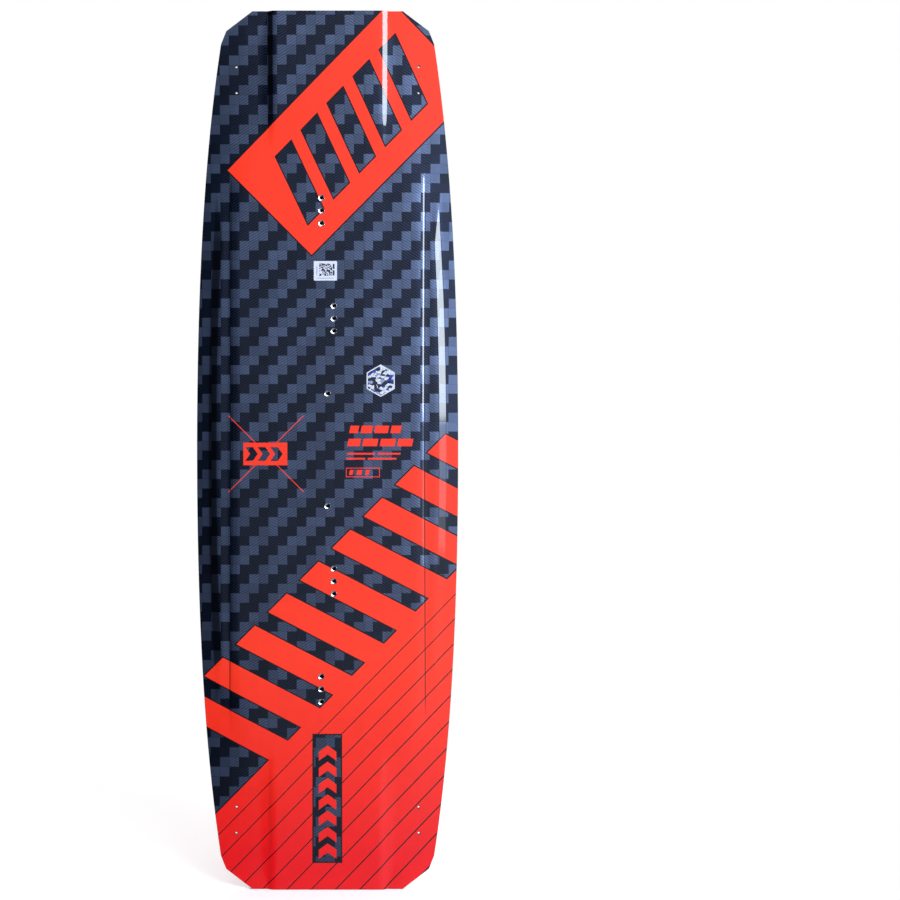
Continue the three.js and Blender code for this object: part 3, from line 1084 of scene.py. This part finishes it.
def insert_profile():
    """Radius and depth of a threaded insert, from the bottom of its bore out and round."""
    bore, ring, flange, body = BORE_RADIUS, RING_RADIUS, FLANGE_RADIUS, BODY_RADIUS
    profile = [(0, BORE_BOTTOM), (bore, BORE_BOTTOM - 0.4)]
    for k in range(THREAD_TURNS):
        depth = THREAD_BOTTOM - k * THREAD_PITCH
        profile += [(bore + THREAD_DEPTH, depth - 0.25), (bore, depth - 0.5), (bore, depth - 0.75)]
    mouth = [(bore, 1.0), (bore + 0.15, 0.8), (bore + 1.1, 0.38), (ring - 0.5, 0.06)]
    rounded_rim = [(ring - 0.25, 0.0), (ring - 0.08, 0.05), (ring, 0.3)]
    flange_top = SKIN + FIT_GAP
    flange_side = [
        (ring, flange_top), (flange - 0.2, flange_top), (flange, flange_top + 0.2),
        (flange, FLANGE_BOTTOM - 0.2), (flange - 0.2, FLANGE_BOTTOM),
    ]
    foot = [
        (body, FLANGE_BOTTOM), (body, BODY_BOTTOM - 0.3), (body - 0.3, BODY_BOTTOM),
        (0, BODY_BOTTOM),
    ]
    return profile + mouth + rounded_rim + flange_side + foot


def pocket_profile():
    """Radius and depth of the room that an insert has in the core."""
    flange, body = FLANGE_RADIUS + FIT_GAP, BODY_RADIUS + FIT_GAP
    flange_bottom, body_bottom = FLANGE_BOTTOM + FIT_GAP, BODY_BOTTOM + FIT_GAP
    return [
        (0, -TOOL_OVER), (flange, -TOOL_OVER), (flange, flange_bottom), (body, flange_bottom),
        (body, body_bottom), (0, body_bottom),
    ]


def in_bore(local):
    """Whether a place in an insert's own axes is on the thread or the bore's bottom."""
    across = math.hypot(local.x, local.z)
    return across < BORE_RADIUS + THREAD_DEPTH + 0.05 and BORE_TOP < local.y < BORE_BOTTOM + 0.1


def make_inserts():
    for name, x, station in insert_list():
        place = deck_frame(x, station)
        piece = joined(name + "_steel", [turned(insert_profile(), INSERT_SIDES, place)])
        dress(piece, "steel", name)
        # The thread and the bore's bottom get the dark bore material: painted shade in the hole.
        piece.data.materials.append(materials["bore"])
        to_insert = place.inverted()
        for face in piece.data.polygons:
            local = to_insert @ ((face.center - Vector((0, 0, HALF_LENGTH * MM))) / MM)
            if in_bore(local):
                face.material_index = 1


def capsule(x, station, radius, steps=10):
    """Outline round both screws of a fin: two half circles, the upper one first."""
    points = []
    for end in (1, -1):
        middle = station + end * FIN_PITCH / 2
        for k in range(steps + 1):
            angle = math.pi * k / steps + (math.pi if end < 0 else 0)
            points.append((x + radius * math.cos(angle), middle + radius * math.sin(angle)))
    return points


def plug_room(x, station):
    """Points and faces of an upright prism, right through the board, round a fin plug."""
    outline = capsule(x, station, PLUG_RADIUS + FIT_GAP)
    points = [(a, y, s) for y in (-TOOL_REACH, TOOL_REACH) for a, s in outline]
    return points, prism_faces(len(outline))


def plug_body(name, x, station, base_side, deck_side):
    """A fin plug between two surfaces."""
    outline = np.array(capsule(x, station, PLUG_RADIUS))
    points = []
    for surface in (deck_side, base_side):
        depths = surface(outline[:, 0], outline[:, 1])
        points += [(a, float(d), b) for (a, b), d in zip(outline, depths)]
    return mesh_object(name, points, prism_faces(len(outline)))


def make_tools():
    """The solids that are cut out of the layers, by what they make room for."""
    inserts = [deck_frame(x, station) for _, x, station in insert_list()]
    screws = [
        deck_frame(x, station, way * FIN_PITCH / 2)
        for _, x, station in plug_list() for way in (-1, 1)
    ]
    ring = (RING_RADIUS + RING_GAP, -TOOL_OVER, SKIN + FIT_GAP)
    solids = {
        "fin": [rod(FIN_HOLE_RADIUS, -TOOL_REACH, TOOL_REACH, place) for place in screws],
        "bore": [rod(PLUG_BORE_RADIUS, -TOOL_REACH, TOOL_REACH, place) for place in screws],
        "ring": [rod(*ring, place, INSERT_SIDES) for place in inserts],
        "pocket": [turned(pocket_profile(), HOLE_SIDES, place) for place in inserts],
        "plug": [plug_room(x, station) for _, x, station in plug_list()],
    }
    return {kind: joined(f"{kind}_tool", parts) for kind, parts in solids.items()}


def make_skins(tools):
    """Sheet, carbon and glass on the deck and on the base, from the outside in."""
    end = HALF_LENGTH - SKIN_INSET
    fine = stations_between(-end, end, FINE_PITCH)
    coarse = stations_between(-end, end, COARSE_PITCH)
    plies = [
        ("sheet", 0.0, SHEET, fine, FINE), ("carbon", SHEET + GLUE, CARBON, coarse, COARSE),
        ("glass", SHEET + CARBON + 2 * GLUE, GLASS, coarse, COARSE),
    ]
    slots = {"carbon": "carbon", "glass": "glass_ply"}
    for kind, start, depth, stations, counts in plies:
        columns = full_columns(counts)
        top, under = under_deck(start), under_deck(start + depth)
        deck = slab(f"deck_{kind}_skin", stations, columns, under, top)
        cut(deck, tools["ring"])
        cut(deck, tools["fin"])
        dress(deck, slots.get(kind, "deck_print"), f"deck_{kind}")
        outside, inside = over_base(start), over_base(start + depth)
        base = slab(f"base_{kind}_skin", stations, columns, outside, inside)
        cut(base, tools["fin"])
        dress(base, slots.get(kind, "base_print"), f"base_{kind}")


def make_core(tools, base_side, deck_side):
    rows = stations_between(-TIP_RAIL_START, TIP_RAIL_START, COARSE_PITCH)
    core = slab("core_wood", rows, core_columns(COARSE), base_side, deck_side)
    cut(core, tools["plug"])
    cut(core, tools["pocket"])
    dress(core, "wood", *cad_nodes("wood_core"))


def make_rails(tools, base_side, deck_side):
    wall = (base_side, deck_side, RAIL_LEVELS, SKIN_INSET)
    side_rows = stations_between(-TIP_RAIL_START, TIP_RAIL_START, SIDE_RAIL_PITCH)
    for side, name in ((-1, "left"), (1, "right")):
        columns = rail_columns(side, SIDE_RAIL_COLUMNS)
        rail = slab(f"{name}_side_rail", side_rows, columns, *wall)
        cut(rail, tools["plug"])
        dress(rail, "rail", *cad_nodes(f"rail_{name}"))
    tip_rows = stations_between(TIP_RAIL_START, HALF_LENGTH - SKIN_INSET, TIP_RAIL_PITCH)
    for name, rows in (("nose", tip_rows), ("tail", -tip_rows[::-1])):
        rail = slab(f"{name}_end_rail", rows, full_columns(TIP_RAIL_COLUMNS), *wall)
        dress(rail, "rail", f"{name}_tip_rail")


def make_plugs(tools, base_side, deck_side):
    for name, x, station in plug_list():
        plug = plug_body(name + "_block", x, station, base_side, deck_side)
        cut(plug, tools["bore"])
        dress(plug, "plug", name)


def make_laminate():
    tools = make_tools()
    inside = (over_base(SKIN), under_deck(SKIN))
    make_skins(tools)
    make_core(tools, *inside)
    make_rails(tools, *inside)
    make_plugs(tools, *inside)
    for tool in tools.values():
        bpy.data.objects.remove(tool)


def make_stickers():
    w, h = LABEL["width"] / 2, LABEL["height"] / 2
    x, s = LABEL["x"], LABEL["station"]
    corners = [(x - w, s - h), (x + w, s - h), (x + w, s + h), (x - w, s + h)]
    dress(sticker("label_film", rounded_polygon(corners, 1.2), (x, s), 6), "label", "deck_label")
    x, s, radius = BADGE["x"], BADGE["station"], BADGE["radius"]
    angles = [math.pi / 6 + math.pi / 3 * k for k in range(6)]
    corners = [(x + radius * math.cos(a), s + radius * math.sin(a)) for a in angles]
    dress(sticker("badge_film", rounded_polygon(corners, 1.5), (x, s), 8), "badge", "deck_badge")


make_laminate()
make_inserts()
make_stickers()


# ---------------------------------------------------------------- camera, light and floor

CENTRE = (cad_box[0] + cad_box[1]) / 2
CAMERA_DISTANCE = 1.80

# Softboxes, in metres: place, the point it faces, size, power and colour.
COOL = (0.80, 0.89, 1.0)
WHITE = (1.0, 1.0, 1.0)
SOFTBOXES = {
    "key": ((1.64, -1.89, 1.44), (0.0, 0.0, 0.95), (1.25, 1.35), 58.0, COOL),
    "low_key": ((1.64, -1.89, 0.58), (0.0, 0.0, 0.62), (1.25, 0.34), 1.6, COOL),
    "front_top": ((1.1, -1.6, 3.1), (0.0, 0.0, 0.5), (1.6, 1.2), 34.0, WHITE),
    "rear_key": ((1.5, 2.3, 2.7), (0.0, 0.0, 0.6), (2.2, 1.6), 75.0, WHITE),
    "top": ((0.0, -0.2, 3.2), (0.0, 0.0, 0.0), (3.0, 3.0), 45.0, WHITE),
}

# The studio: what reflections see on either side, the blur between, and the fill of matt surfaces.
DARK_SIDE = (0.014, 0.017, 0.024)
BRIGHT_SIDE = (0.38, 0.40, 0.46)
SIDE_BLUR = 0.2
SOFT_FILL = (0.42, 0.42, 0.43)

# Floor, in millimetres.
FLOOR_RADIUS = 1800.0
FLOOR_RINGS = 24
FLOOR_SIDES = 96
FLOOR_FADE = (150.0, 900.0)


def make_camera():
    data = bpy.data.cameras.new("camera")
    data.lens = 45.9
    data.sensor_width = 36.0
    data.shift_x = 0.136
    data.clip_start = 0.01
    camera = bpy.data.objects.new("camera", data)
    camera.location = (0.0, cad_box[0].y - CAMERA_DISTANCE, CENTRE.z)
    camera.rotation_euler = (math.pi / 2, 0, 0)
    bpy.context.scene.collection.objects.link(camera)
    bpy.context.scene.camera = camera


def softbox(name, place, target, size, power, colour):
    data = bpy.data.lights.new(name, "AREA")
    data.shape = "RECTANGLE"
    data.size, data.size_y = size
    data.energy = power
    data.color = colour
    light = bpy.data.objects.new(name, data)
    light.location = place
    aim = Vector(target) - Vector(place)
    light.rotation_euler = aim.to_track_quat("-Z", "Y").to_euler()
    light.visible_camera = False
    bpy.context.scene.collection.objects.link(light)


def make_world():
    world = bpy.data.worlds.new("studio")
    bpy.context.scene.world = world
    world.use_nodes = True
    t = Tree(world.node_tree)
    ray = t.new("ShaderNodeLightPath").outputs
    direction = t.new("ShaderNodeTexCoord").outputs["Generated"]
    to_right = t.between(t.axes(direction)[0], -SIDE_BLUR, SIDE_BLUR)
    light = t.mix(to_right, DARK_SIDE, BRIGHT_SIDE)
    light = t.mix(Field(t, ray["Is Diffuse Ray"]), light, SOFT_FILL)
    seen, lit = t.nodes["Background"], t.new("ShaderNodeBackground")
    seen.inputs["Color"].default_value = (*WHITE, 1.0)
    t.link(light, lit.inputs["Color"])
    surface = t.blend(Field(t, ray["Is Camera Ray"]), lit, seen)
    t.link(surface, t.nodes["World Output"].inputs["Surface"])


def floor_matt():
    """Nearly white and matt, fading to nothing far from the board."""
    t = Sheet("floor")
    cloud = t.noise(t.place, 3.0, 3.0)
    t.colour(t.mix(cloud, (0.93, 0.93, 0.94), (0.97, 0.97, 0.97)))
    t.roughness(0.8 + cloud * 0.1)
    away = t.math("SQRT", t.x * t.x + t.y * t.y)
    clear = t.new("ShaderNodeBsdfTransparent")
    surface = t.blend(t.between(away, *FLOOR_FADE), t.shader, clear)
    t.link(surface, t.nodes["Material Output"].inputs["Surface"])
    return t.material


def make_floor():
    """A disc under the board. It isn't seen in the board's own reflections."""
    steps = range(FLOOR_RINGS + 1)
    profile = [(FLOOR_RADIUS * (k / FLOOR_RINGS) ** 2, 0) for k in steps]
    flat = Matrix.Translation((0, 0, -HALF_LENGTH)) @ Matrix.Rotation(math.pi / 2, 4, "X")
    floor = joined("floor", [turned(profile, FLOOR_SIDES, flat)])
    floor.location.z = cad_box[0].z
    floor.visible_glossy = False
    floor.data.materials.append(floor_matt())


make_camera()
for name, settings in SOFTBOXES.items():
    softbox(name, *settings)
make_world()
make_floor()
bpy.context.scene.view_settings.view_transform = "Standard"
